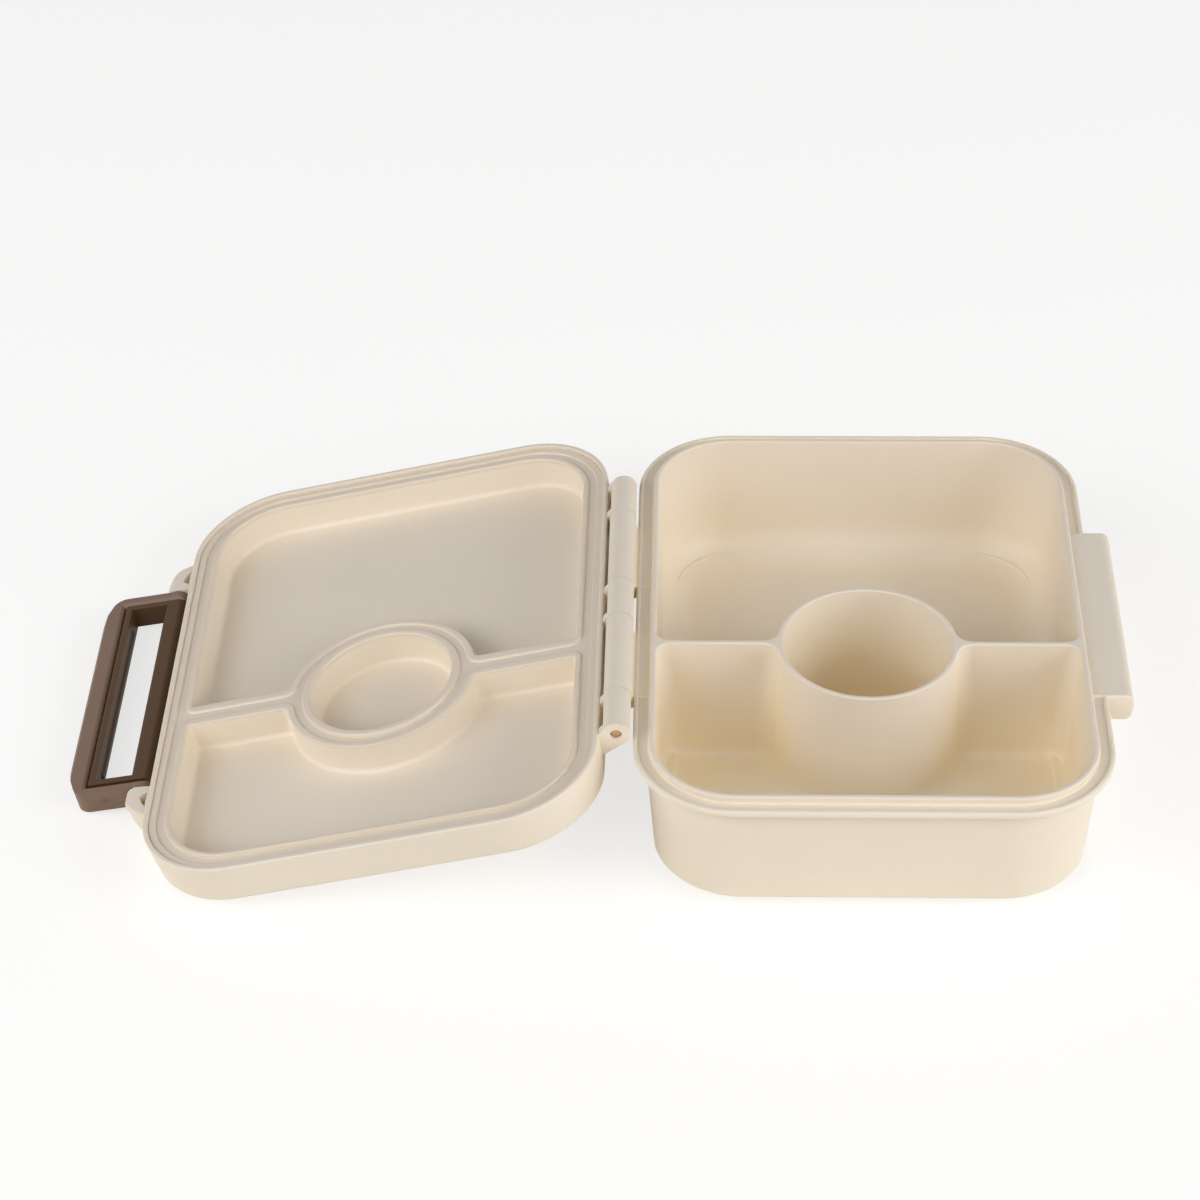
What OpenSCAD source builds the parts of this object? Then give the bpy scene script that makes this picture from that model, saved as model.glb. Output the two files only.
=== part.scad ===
// Hinged snack box for a small child: a divided tray with a round cup, a sealed lid on a pin hinge,
// a snap latch over a catch block, and a carry handle on the latch's pin. The lid is drawn open,
// lying back with its far edge on the table. Millimetres, Z up, origin under the middle of the box.

/* [Box] */
// Length over the flange, along the hinge
box_len = 154.8; // [140:0.1:175]
// Width over the flange
box_wid = 116; // [104:0.1:130]
// Corner radius of the flange
corner_r = 24.6; // [18:0.1:30]
// Height of the flange top above the table
flange_z = 35.35; // [30:0.05:50]
// Overhang of the flange past the wall
flange_out = 2.8; // [1.5:0.1:3]
// Thickness of the flange
flange_t = 2; // [1.5:0.1:3]
// Depth of the channel in the flange round the sealing rim
channel_d = 0.5; // [0.2:0.1:0.8]
// Width of the raised lip at the flange edge
lip_w = 1.1; // [0.8:0.1:1.6]
// Height of the sealing rim above the flange
rim_h = 1.35; // [0.8:0.05:2]
// Thickness of the sealing rim
rim_t = 1.4; // [1:0.1:2]
// Distance from the flange edge in to the sealing rim
rim_in = 3.85; // [3.2:0.05:5]
// Slope of the outer wall, in degrees
wall_draft = 3.85; // [1:0.05:5]
// Slope of the inner walls, in degrees
inner_draft = 1.8; // [0.5:0.1:3]
// Extra corner radius of the outer wall
wall_extra_r = 2.2; // [0:0.1:3]
// Thickness of the floor
floor_t = 1.6; // [1.2:0.1:3]
// Radius where the floor meets the walls
floor_r = 9; // [6:0.5:12]
// Height of the step that the box stands on
foot_h = 3.2; // [1:0.1:4]
// Inset of that step from the wall
foot_in = 5.5; // [4.5:0.1:8]
// Chamfer of the step and of the wall's foot
foot_chamfer = 0.8; // [0.4:0.1:1]
// Edge rounding of moulded rims
edge_r = 0.5; // [0.2:0.05:0.6]

/* [Compartments] */
// Place of the dividing wall, from the middle towards the front
divider_y = -14.6; // [-25:0.1:0]
// Thickness of the dividing wall at its top
divider_t = 1.4; // [1.2:0.1:2]
// Outer radius of the round cup at its top
cup_r = 22.45; // [16:0.05:26]
// Thickness of the cup wall
cup_t = 1.3; // [1.1:0.1:2]
// Slope of the divider and cup walls, in degrees
cup_draft = 2; // [0.5:0.1:3]
// Radius where divider and cup meet the floor
foot_fillet = 3.5; // [1:0.1:5]
// Radius of the upright corners beside the cup
web_fillet = 4.5; // [2:0.1:6]
// Radius of the upright corners at the walls
end_fillet = 3.5; // [2:0.1:6]
// Chamfer along the top of divider and cup
wall_chamfer = 0.3; // [0.1:0.05:0.5]

/* [Catch] */
// Length of the catch block
catch_len = 67; // [50:0.5:72]
// Reach of the catch block past the flange
catch_out = 6.6; // [5:0.1:8]
// Height of the catch block
catch_h = 7.65; // [6:0.05:10]
// Wall round the hollow under the catch block
catch_wall = 2; // [1.4:0.1:2.6]
// Rounding of the catch block's upper outer edge
catch_top_r = 2.4; // [0.8:0.1:3]
// Number of stiffening ribs under the catch block
catch_ribs = 4; // [2:1:6]
// Thickness of those ribs
catch_rib_t = 1.4; // [1:0.1:2]

/* [Hinge] */
// Distance from the flange edge to the hinge axis
hinge_out = 4; // [3.8:0.05:5]
// Height of the hinge axis above the flange
hinge_up = 1.52; // [1.3:0.01:2]
// Radius of the hinge barrel
barrel_r = 3.4; // [3:0.05:3.5]
// Length of the whole barrel
barrel_len = 102.5; // [80:0.5:104]
// Length of each lid knuckle
knuckle_len = 14.2; // [10:0.1:18]
// Gap between two knuckles
knuckle_gap = 0.25; // [0.15:0.05:0.5]
// Radius of the hinge pin
pin_r = 1.4; // [1:0.05:1.6]
// Running clearance of pins in their bores
bore_gap = 0.05; // [0.02:0.01:0.1]
// Depth of the pin's ends inside the barrel
pin_recess = 0.8; // [0.3:0.1:2]
// Thickness of the webs at the ends of a lid knuckle
knuckle_web = 2.4; // [1.6:0.1:3]

/* [Lid] */
// Gap between the lid edge and the flange outline
lid_inset = 0.15; // [0.1:0.05:0.4]
// Gap between the closed lid and the flange
lid_gap = 0.15; // [0.1:0.05:0.3]
// Depth of the lid from its edge to its outer face
lid_h = 11.45; // [10:0.05:14]
// Thickness of the lid panel
panel_t = 2.4; // [1.6:0.1:3]
// Slope of the lid's outer wall, in degrees
lid_draft = 4; // [1:0.1:5]
// Thickness of the lid's skirt at its edge
skirt_t = 1.3; // [1:0.1:1.8]
// Rounding of the lid's outer face edge
lid_edge_r = 1.5; // [0.8:0.1:2.5]
// Radius where the panel meets the inner walls
panel_r = 2; // [1:0.1:3]

/* [Gasket] */
// Width of the gasket band, from the skirt inwards
band_w = 5.6; // [5:0.1:6.5]
// Gap between the gasket's seat and the closed rim
seal_gap = 0.07; // [0.05:0.01:0.15]
// Height of the gasket's inner lip above the seat
lip_h = 0.9; // [0.6:0.05:1.3]
// Height of the gasket's outer ridge above the seat
ridge_h = 0.5; // [0.3:0.05:0.9]
// Side gap between the gasket lips and the rim
lip_gap = 0.3; // [0.2:0.05:0.5]
// Depth of the groove that holds the gasket
groove_d = 1.9; // [1.4:0.1:2.5]
// Thickness of the groove's walls on the ribs
groove_wall = 1.2; // [1:0.1:1.6]
// Width of the gasket on the dividing rib
strip_w = 7.6; // [7:0.1:9]
// Radius of the gasket's inner corners beside the ring
seal_fillet = 2; // [0.5:0.1:4]

/* [Latch and handle] */
// Distance from the lid edge to the latch pivot
pivot_out = 3.6; // [3.4:0.05:5]
// Depth of the latch pivot below the lid edge
pivot_down = 3.4; // [2.5:0.05:4]
// Thickness of latch and handle
latch_t = 6; // [5:0.1:6.4]
// Width of the latch's hinge bar
hinge_bar_w = 6; // [5.6:0.1:6.4]
// Gap between the closed latch and the catch block
catch_gap = 0.5; // [0.4:0.05:1]
// Gap at either end of the catch block
end_gap = 1.3; // [0.8:0.1:2]
// Width of the latch's snap bar
snap_bar_w = 1.9; // [1.6:0.1:4]
// Reach of the hook lip into the window
hook = 0.4; // [0.2:0.05:0.45]
// Thickness of the latch's side arms
latch_arm = 1.8; // [1.6:0.1:2.6]
// Side gap between latch, handle and ears
side_gap = 0.35; // [0.25:0.05:0.5]
// Thickness of the handle's side arms
handle_arm = 3; // [2.6:0.1:4]
// Width of the handle's grip bar
grip_w = 5; // [4:0.1:7]
// Bevel of the handle's outer corners, along its grip
grip_bevel = 8.5; // [3:0.5:12]
// Radius of the latch pin
latch_pin_r = 1; // [0.8:0.05:1.2]
// Depth of the latch pin in each ear
ear_bite = 3.5; // [2.5:0.1:5]
// Width of an ear at its tip
ear_tip = 4; // [3.9:0.1:6]
// Width of an ear at the lid wall
ear_root = 10.5; // [8:0.1:13]

/* [Hidden] */
$fn = 96;
arc_n = 8;
// longer than anything that is cut
far = 400;
// how far one body reaches into the next that it is joined to
bury = 0.3;
// how far a rounded corner crosses the round wall that it runs into
bite = 0.06;
cream = [0.91, 0.86, 0.77];
silicone = [0.86, 0.83, 0.78];
brown = [0.33, 0.25, 0.2];
steel = [0.75, 0.74, 0.72];

half_x = box_wid / 2;
half_y = box_len / 2;
core = [half_x - corner_r, half_y - corner_r];
wall_core = core - [wall_extra_r, wall_extra_r];
rim_z = flange_z + rim_h;
rim_to = corner_r - rim_in;
rim_ti = rim_to - rim_t;
wall_top_t = corner_r + wall_extra_r - flange_out;
wall_low_t = wall_top_t - (flange_z - foot_h) * tan(wall_draft);
cavity_low_t = rim_ti - (rim_z - floor_t - floor_r) * tan(inner_draft);
foot_t = wall_low_t - foot_in;

hinge_x = -half_x - hinge_out;
hinge_z = flange_z + hinge_up;
lid_span = half_x + hinge_out;
lid_edge_w = hinge_up - lid_gap;
lid_face_w = lid_edge_w - lid_h;
panel_w = lid_face_w + panel_t;
lid_t = corner_r - lid_inset;
lid_low_t = lid_t - lid_h * tan(lid_draft);
seat_w = hinge_up - rim_h - seal_gap;
groove_w = seat_w - groove_d;
ledge_w = seat_w - 0.3;
band_to = lid_t - skirt_t;
band_ti = band_to - band_w;
band_step = rim_ti - lip_gap;

// tilt at which the far edge of the open lid touches the table
lid_reach_u = lid_span + core[0] + lid_low_t - lid_edge_r;
lid_reach_w = lid_face_w + lid_edge_r;
lid_reach = norm([lid_reach_u, lid_reach_w]);
lid_tilt = asin((hinge_z - lid_edge_r) / lid_reach) - atan2(-lid_reach_w, lid_reach_u);

pivot_u = lid_span + half_x - lid_inset + pivot_out;
pivot_w = lid_edge_w - pivot_down;
pivot_x = hinge_x - pivot_u * cos(lid_tilt) - pivot_w * sin(lid_tilt);
pivot_z = hinge_z - pivot_u * sin(lid_tilt) + pivot_w * cos(lid_tilt);
window_half = catch_len / 2 + end_gap;
window_near = hinge_bar_w / 2 - 0.6;
window_far = catch_h + hinge_up - pivot_w + hook + 0.1;
snap_far = window_far + snap_bar_w;
grip_near = snap_far + catch_gap;
grip_far = grip_near + grip_w;
latch_half = window_half + latch_arm;
handle_in = latch_half + side_gap;
handle_out = handle_in + handle_arm;
ear_in = handle_out + side_gap;
// tilt at which the grip's lower edge touches the table
latch_tilt = asin(pivot_z / norm([grip_far, latch_t / 2])) - atan2(latch_t / 2, grip_far);

// points of an arc about c, from angle a to angle b
function arc(c, r, a, b) = [for (i = [0:arc_n]) let (t = a + (b - a) * i / arc_n) c + r * [cos(t), sin(t)]];

// closes half a profile with its mirror image
function both(half) = concat(half, [for (i = [len(half) - 1:-1:0]) [-half[i][0], half[i][1]]]);

// sweeps a profile (x out from the corner centres, y up) round a rounded rectangle
module sweep(c) {
  for (q = [0:3]) {
    e = q % 2 == 0 ? c : [c[1], c[0]];
    rotate([0, 0, 90 * q]) {
      translate([e[0], e[1], 0]) rotate_extrude(angle = 90) children();
      translate([e[0], 0, 0]) rotate([90, 0, 0]) linear_extrude(2 * e[1], center = true) children();
    }
  }
}

// the same, filled in between the corner centres from height lo to height hi
module plug(c, lo, hi) {
  sweep(c) children();
  translate([-c[0], -c[1], lo]) cube([2 * c[0], 2 * c[1], hi - lo]);
}

module y_rod(r, y0, y1) translate([0, y1, 0]) rotate([90, 0, 0]) cylinder(r = r, h = y1 - y0);

// extrudes a profile drawn in X and Z along Y
module y_bar(y0, y1) translate([0, y1, 0]) rotate([90, 0, 0]) linear_extrude(y1 - y0) children();

// concave upright corner between a straight face at y = 0 and a circle of radius r about [0, cy]
module round_corner(r, cy, f, z0, z1) {
  reach = r + f - bite;
  fx = sqrt(pow(reach, 2) - pow(f - cy, 2));
  t = [0, cy] + ([fx, f] - [0, cy]) * (r - bite) / reach;
  difference() {
    translate([0, 0, z0]) linear_extrude(z1 - z0)
      polygon([[fx, -bury], [fx, 0], t, [t[0] - 2 * bury, t[1] - bury], [t[0] - 2 * bury, -bury]]);
    translate([fx, f, z0 - 1]) cylinder(r = f, h = z1 - z0 + 2);
  }
}

// concave upright corner between the faces y = 0 and x = 0, filling the quadrant x < 0, y > 0
module square_corner(f, z0, z1) {
  difference() {
    translate([-f, -bury, z0]) cube([f + 4 * bury, f + bury, z1 - z0]);
    translate([-f, f, z0 - 1]) cylinder(r = f, h = z1 - z0 + 2);
  }
}

module box_outer() {
  wall_z = flange_z - flange_t / 2;
  plug(wall_core, foot_h, wall_z) polygon([[0, foot_h], [wall_low_t - foot_chamfer, foot_h],
    [wall_low_t, foot_h + foot_chamfer], [wall_top_t, wall_z], [0, wall_z]]);
  plug(wall_core, 0, foot_h + bury) polygon([[0, 0], [foot_t - foot_chamfer, 0], [foot_t, foot_chamfer],
    [foot_t, foot_h + bury], [0, foot_h + bury]]);
  sweep(core) polygon(concat(
    [[rim_ti - bury, flange_z - flange_t], [corner_r - edge_r, flange_z - flange_t]],
    arc([corner_r - edge_r * 1.6, flange_z - edge_r * 1.6], edge_r * 1.6, -10, 90),
    [[corner_r - lip_w, flange_z], [corner_r - lip_w - channel_d, flange_z - channel_d]],
    [[rim_to + 0.2, flange_z - channel_d], [rim_to, flange_z - channel_d + 0.4]],
    [[rim_to, rim_z - edge_r]],
    arc([rim_to - edge_r, rim_z - edge_r], edge_r, 0, 90),
    [[rim_ti - bury, rim_z]]));
}

// the hollow of the box, or a block that reaches into its walls and floor by grow
module box_cavity(grow = 0) {
  plug(core, floor_t - grow, rim_z + 1) polygon(concat(
    [[0, floor_t - grow]],
    arc([cavity_low_t - floor_r, floor_t + floor_r], floor_r + grow, -90, 0),
    [[rim_ti + grow, rim_z - edge_r], [rim_ti + edge_r, rim_z], [rim_ti + edge_r, rim_z + 1]],
    [[0, rim_z + 1]]));
}

cup_low_r = cup_r + (rim_z - floor_t) * tan(cup_draft);
divider_low = divider_t / 2 + (rim_z - floor_t) * tan(cup_draft);

module divider() {
  side = concat([[divider_t / 2 - wall_chamfer, rim_z], [divider_t / 2, rim_z - wall_chamfer]],
    arc([divider_low + foot_fillet, floor_t + foot_fillet], foot_fillet, 180, 270),
    [[divider_low + foot_fillet, floor_t - bury]]);
  translate([0, divider_y, 0]) rotate([90, 0, 90])
    linear_extrude(2 * (core[0] + rim_ti + bury), center = true) polygon(both(side));
}

module cup_outside() {
  translate([0, divider_y, 0]) rotate_extrude() polygon(concat(
    [[0, floor_t - bury], [cup_low_r + foot_fillet, floor_t - bury]],
    arc([cup_low_r + foot_fillet, floor_t + foot_fillet], foot_fillet, -90, -180),
    [[cup_r, rim_z - wall_chamfer], [cup_r - wall_chamfer, rim_z], [0, rim_z]]));
}

module cup_inside() {
  top = cup_r - cup_t;
  low = top - (rim_z - floor_t) * tan(cup_draft);
  translate([0, divider_y, 0]) rotate_extrude() polygon(concat(
    [[0, floor_t]],
    arc([low - foot_fillet, floor_t + foot_fillet], foot_fillet, -90, 0),
    [[top, rim_z - wall_chamfer], [top + wall_chamfer, rim_z], [top + wall_chamfer, rim_z + 1]],
    [[0, rim_z + 1]]));
}

// the four corners where walls of half thickness half, along X, meet a round one of radius r
module ring_corners(r, half, f, lo, hi) {
  for (mx = [0, 1], my = [0, 1]) mirror([mx, 0, 0]) mirror([0, my, 0])
    translate([0, half, 0]) round_corner(r, -half, f, lo, hi);
}

// the four corners where such walls meet a face across their ends, at x
module end_corners(x, half, f, lo, hi) {
  for (mx = [0, 1], my = [0, 1]) mirror([mx, 0, 0]) mirror([0, my, 0])
    translate([x, half, 0]) square_corner(f, lo, hi);
}

module web_corners() {
  translate([0, divider_y, 0]) {
    ring_corners(cup_r, divider_t / 2, web_fillet, floor_t, rim_z - wall_chamfer / 2);
    end_corners(core[0] + rim_ti, divider_t / 2, end_fillet, floor_t, rim_z - wall_chamfer / 2);
  }
}

module catch_block() {
  x0 = core[0] + rim_to - 1;
  x1 = half_x + catch_out;
  z0 = flange_z - catch_h;
  top_r = catch_top_r;
  end_chamfer = 1;
  half = catch_len / 2;
  difference() {
    intersection() {
      y_bar(-half, half) polygon(concat(
        [[x0, z0], [x1 - 1.6, z0], [x1 - 0.4, z0 + 1], [x1, z0 + 3]],
        arc([x1 - top_r, flange_z - top_r], top_r, 0, 90), [[x0, flange_z]]));
      translate([0, 0, z0 - 1]) linear_extrude(catch_h + 2) polygon([
        [x0, -half], [x1 - end_chamfer, -half], [x1, end_chamfer - half],
        [x1, half - end_chamfer], [x1 - end_chamfer, half], [x0, half]]);
    }
    difference() {
      translate([half_x, catch_wall - half, z0 - 1])
        cube([catch_out - catch_wall, catch_len - 2 * catch_wall, catch_h + 1 - catch_wall]);
      for (i = [1:catch_ribs])
        translate([half_x - 1, catch_len * i / (catch_ribs + 1) - half - catch_rib_t / 2, z0 - 2])
          cube([catch_out, catch_rib_t, catch_h + 2]);
    }
  }
}

// the two long knuckles of the box, between the three short ones of the lid
knuckle_in = knuckle_len / 2 + knuckle_gap;
knuckle_out = barrel_len / 2 - knuckle_len - knuckle_gap;

module box_knuckles() {
  wall_x = -core[0] - rim_to + bury;
  drop = 7.5;
  chamfer = 2.5;
  near_x = hinge_x + 1.5;
  half_far = 2 * drop;
  for (m = [0, 1]) mirror([0, m, 0]) difference() {
    union() {
      translate([hinge_x, 0, hinge_z]) y_rod(barrel_r, knuckle_in, knuckle_out);
      intersection() {
        y_bar(knuckle_in, knuckle_out) polygon([
          [hinge_x, hinge_z - barrel_r], [wall_x, hinge_z - drop], [wall_x, flange_z - bury],
          [-half_x, flange_z - bury], [hinge_x + barrel_r * cos(50), hinge_z + barrel_r * sin(20)],
          [hinge_x, hinge_z]]);
        translate([0, 0, hinge_z - half_far]) linear_extrude(2 * half_far) polygon([
          [hinge_x - 1, knuckle_in], [near_x, knuckle_in], [near_x + chamfer, knuckle_in + chamfer],
          [wall_x + 1, knuckle_in + chamfer], [wall_x + 1, knuckle_out - chamfer],
          [near_x + chamfer, knuckle_out - chamfer], [near_x, knuckle_out], [hinge_x - 1, knuckle_out]]);
      }
    }
    translate([hinge_x, 0, hinge_z]) y_rod(pin_r + bore_gap, 0, barrel_len);
  }
}

module base_box() {
  color(cream) {
    difference() {
      union() {
        difference() {
          union() {
            box_outer();
            catch_block();
          }
          box_cavity();
        }
        intersection() {
          union() {
            divider();
            web_corners();
          }
          box_cavity(edge_r);
        }
        cup_outside();
      }
      cup_inside();
    }
    box_knuckles();
  }
}

// places what is drawn in the lid's own frame: hinge axis at the origin, lid towards -X, inside up
module on_lid() translate([hinge_x, 0, hinge_z]) rotate([0, -lid_tilt, 0]) children();

module lid_body() {
  translate([-lid_span, 0, 0]) {
    plug(core, lid_face_w, panel_w) polygon(concat(
      [[0, lid_face_w]],
      arc([lid_low_t - lid_edge_r, lid_face_w + lid_edge_r], lid_edge_r, -90, 0),
      arc([lid_t - edge_r, lid_edge_w - edge_r], edge_r, 0, 90),
      [[band_to, lid_edge_w], [band_to, groove_w], [band_step, groove_w], [band_step, ledge_w]],
      [[band_ti, ledge_w]],
      arc([band_ti - panel_r - 0.35, panel_w + panel_r], panel_r, 0, -90),
      [[0, panel_w]]));
  }
}

// rib pair with a groove between, along X, for the straight part of the gasket
module lid_rib() {
  low = strip_w / 2 + (ledge_w - panel_w) * tan(cup_draft);
  side = concat(
    [[strip_w / 2 - groove_wall, groove_w], [strip_w / 2 - groove_wall, ledge_w], [strip_w / 2, ledge_w]],
    arc([low + panel_r, panel_w + panel_r], panel_r, 180, 270),
    [[low + panel_r, panel_w - bury]]);
  translate([-lid_span, divider_y, 0]) {
    rotate([90, 0, 90])
      linear_extrude(2 * (core[0] + band_ti + 2 * bury), center = true) polygon(both(side));
    ring_corners(ring_out, strip_w / 2, seal_fillet, panel_w, ledge_w);
    end_corners(core[0] + band_ti, strip_w / 2, seal_fillet / 2, panel_w, ledge_w);
  }
}

ring_in = cup_r - cup_t - 2.6;
ring_out = cup_r + 2.2;

module lid_ring() {
  low_out = ring_out + (ledge_w - panel_w) * tan(cup_draft);
  low_in = ring_in - (ledge_w - panel_w) * tan(cup_draft);
  translate([-lid_span, divider_y, 0]) rotate_extrude() polygon(concat(
    [[low_in - panel_r, panel_w - bury], [low_out + panel_r, panel_w - bury]],
    arc([low_out + panel_r, panel_w + panel_r], panel_r, -90, -180),
    [[ring_out, ledge_w], [ring_out - groove_wall, ledge_w], [ring_out - groove_wall, groove_w]],
    [[ring_in + groove_wall, groove_w], [ring_in + groove_wall, ledge_w], [ring_in, ledge_w]],
    arc([low_in - panel_r, panel_w + panel_r], panel_r, 0, -90)));
}

// the two stretches of the rib's groove between x1 and x0 on either side of the lid's middle
module rib_groove(x1, x0) {
  w = strip_w - 2 * groove_wall;
  for (m = [0, 1]) translate([-lid_span, 0, 0]) mirror([m, 0, 0])
    translate([x0, divider_y - w / 2, groove_w]) cube([x1 - x0, w, far]);
}

module ring_hole(r, lo, hi) translate([-lid_span, divider_y, lo]) cylinder(r = r, h = hi - lo);

module lid_knuckle(y0, y1) {
  wall_u = hinge_out + lid_inset;
  difference() {
    union() {
      y_rod(barrel_r, y0, y1);
      y_bar(y0, y1) polygon([
        [0, 0], [-barrel_r * sin(25), barrel_r * cos(25)], [-wall_u - 0.6, lid_edge_w - 0.9],
        [-wall_u - 1, -5.4], [-wall_u - 0.2, -5.4], [barrel_r * sin(8), -barrel_r * cos(8)]]);
    }
    y_rod(pin_r + bore_gap, y0 - 1, y1 + 1);
    translate([-wall_u, y0 + knuckle_web, -barrel_r - 4]) cube([1.3, y1 - y0 - 2 * knuckle_web, far]);
  }
}

module ear() {
  wall_u = lid_span + half_x - lid_inset;
  tip_r = 3.3;
  difference() {
    intersection() {
      union() {
        translate([-pivot_u, 0, pivot_w]) y_rod(tip_r, ear_in, ear_in + ear_root);
        y_bar(ear_in, ear_in + ear_root) polygon([
          [-wall_u + 1, lid_edge_w - 0.6], [-pivot_u, pivot_w + tip_r],
          [-pivot_u - tip_r * cos(20), pivot_w - tip_r * sin(20)], [-wall_u + 1, pivot_w - 6]]);
      }
      translate([0, 0, -far / 2]) linear_extrude(far) polygon([
        [-wall_u + 1.2, ear_in], [-pivot_u - far / 10, ear_in], [-pivot_u - far / 10, ear_in + ear_tip - 1],
        [-pivot_u - tip_r, ear_in + ear_tip - 1], [-pivot_u - tip_r + 1, ear_in + ear_tip],
        [-wall_u, ear_in + ear_root], [-wall_u + 1.2, ear_in + ear_root]]);
    }
    translate([-pivot_u, 0, pivot_w]) y_rod(latch_pin_r + bore_gap / 2, ear_in - 1, ear_in + ear_bite);
    translate([-wall_u - 3, ear_in + ear_tip + 0.3, pivot_w - 1]) linear_extrude(far)
      polygon([[0.4, 0], [2.6, 0], [2.6, 3.2]]);
  }
}

module lid_shell() {
  color(cream) on_lid() {
    difference() {
      lid_body();
      rib_groove(core[0] + band_step, core[0] + band_ti - bury);
    }
    difference() {
      lid_rib();
      ring_hole(ring_out - bury, panel_w, lid_edge_w + 1);
    }
    difference() {
      lid_ring();
      rib_groove(ring_out + bury, ring_out - groove_wall - bury);
    }
    for (m = [0, 1]) mirror([0, m, 0]) {
      lid_knuckle(barrel_len / 2 - knuckle_len, barrel_len / 2);
      ear();
    }
    lid_knuckle(-knuckle_len / 2, knuckle_len / 2);
  }
}

// one moulded silicone ring: a band round the lid, a strip each side, and a ring over the cup
groove_fit = 0.02;
bevel = 0.3;
foot_w = groove_w + groove_fit;
shelf_w = ledge_w + groove_fit;
ridge_w = seat_w + ridge_h;
lip_w_top = seat_w + lip_h;

module gasket_strip() {
  seat_half = divider_t / 2 + lip_gap;
  foot_half = strip_w / 2 - groove_wall - groove_fit;
  half = [[foot_half, foot_w], [foot_half, shelf_w], [strip_w / 2, shelf_w],
    [strip_w / 2, ridge_w - bevel], [strip_w / 2 - bevel, ridge_w], [seat_half + bevel, ridge_w],
    [seat_half, seat_w]];
  difference() {
    translate([-lid_span, divider_y, 0]) {
      rotate([90, 0, 90])
        linear_extrude(2 * (core[0] + band_ti + bury), center = true) polygon(both(half));
      ring_corners(ring_out, strip_w / 2, seal_fillet, shelf_w, ridge_w);
      end_corners(core[0] + band_ti, strip_w / 2, seal_fillet / 2, shelf_w, ridge_w);
    }
    ring_hole(ring_out - 2 * bury, groove_w - 1, lid_edge_w + 1);
  }
}

module gasket_ring() {
  seat_out = cup_r + lip_gap;
  seat_in = cup_r - cup_t - lip_gap;
  foot_out = ring_out - groove_wall - groove_fit;
  foot_in_r = ring_in + groove_wall + groove_fit;
  translate([-lid_span, divider_y, 0]) rotate_extrude() polygon([
    [foot_in_r, foot_w], [foot_out, foot_w], [foot_out, shelf_w], [ring_out, shelf_w],
    [ring_out, ridge_w - bevel], [ring_out - bevel, ridge_w], [seat_out + bevel, ridge_w],
    [seat_out, seat_w], [seat_in, seat_w], [seat_in - bevel, lip_w_top],
    [ring_in + bevel, lip_w_top], [ring_in, lip_w_top - bevel], [ring_in, shelf_w], [foot_in_r, shelf_w]]);
}

module gasket_band() {
  seat_out = rim_to + lip_gap;
  seat_in = rim_ti - lip_gap;
  foot_out = band_to - groove_fit;
  foot_in_t = band_step + groove_fit;
  translate([-lid_span, 0, 0]) sweep(core) polygon([
    [foot_in_t, foot_w], [foot_out, foot_w], [foot_out, ridge_w - bevel], [foot_out - bevel, ridge_w],
    [seat_out + bevel, ridge_w], [seat_out, seat_w], [seat_in, seat_w], [seat_in - bevel, lip_w_top],
    [band_ti + bevel, lip_w_top], [band_ti, lip_w_top - bevel], [band_ti, shelf_w], [foot_in_t, shelf_w]]);
}

// the seat of the dividing wall, across band and ring, with its corners
module divider_seat() {
  half = divider_t / 2 + lip_gap;
  translate([-lid_span, divider_y, 0]) {
    translate([-core[0] - rim_to, -half, seat_w]) cube([2 * (core[0] + rim_to), 2 * half, far]);
    ring_corners(cup_r + lip_gap, half, web_fillet - lip_gap, seat_w, lid_edge_w + 1);
    end_corners(core[0] + rim_ti - lip_gap, half, end_fillet - lip_gap, seat_w, lid_edge_w + 1);
  }
}

module lid_gasket() {
  color(silicone) on_lid() difference() {
    union() {
      gasket_band();
      gasket_strip();
      gasket_ring();
    }
    divider_seat();
  }
}

module hinge_pin() {
  chamfer = 0.3;
  l = barrel_len / 2 - pin_recess;
  color(steel) translate([hinge_x, 0, hinge_z]) rotate([90, 0, 0]) rotate_extrude() polygon([
    [0, -l], [pin_r - chamfer, -l], [pin_r, -l + chamfer],
    [pin_r, l - chamfer], [pin_r - chamfer, l], [0, l]]);
}

// places what is drawn about the latch pivot: arms towards -X, inner side up
module on_pivot() translate([pivot_x, 0, pivot_z]) rotate([0, -latch_tilt, 0]) children();

module latch_frame() {
  h = latch_t / 2;
  b = hinge_bar_w / 2;
  bar_chamfer = 1.6;
  // bevel that lets the bar turn over the catch block
  swing = 0.8;
  e = 0.4;
  hook_half = catch_len / 2 - 4;
  color(brown) on_pivot() difference() {
    union() {
      intersection() {
        y_rod(b + 0.25, -latch_half, latch_half);
        y_bar(-latch_half, latch_half) polygon([
          [b, bar_chamfer - h], [b, h - bar_chamfer], [b - bar_chamfer, h],
          [swing - window_near, h], [-window_near, h - swing],
          [-window_near, swing - h], [swing - window_near, -h], [b - bar_chamfer, -h]]);
      }
      difference() {
        y_bar(-latch_half, latch_half) polygon([
          [0, -h], [0, h], [e - snap_far, h], [-snap_far, h - e], [-snap_far, e - h], [e - snap_far, -h]]);
        y_bar(-window_half, window_half) polygon([
          [-window_far, -h - 1], [-window_near - 1, -h - 1],
          [swing - window_near, -h], [-window_near, swing - h],
          [-window_near, h - swing], [swing - window_near, h],
          [-window_near - 1, h + 1], [-window_far, h + 1]]);
      }
      y_bar(-hook_half, hook_half) polygon([
        [-window_far - 1, 0.6 - h], [-window_far, 0.6 - h], [hook - window_far, 1.4 - h],
        [hook - window_far, 2.2 - h], [-window_far, 3.2 - h], [-window_far - 1, 3.2 - h]]);
    }
    y_rod(latch_pin_r + bore_gap, -far / 2, far / 2);
  }
}

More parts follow.
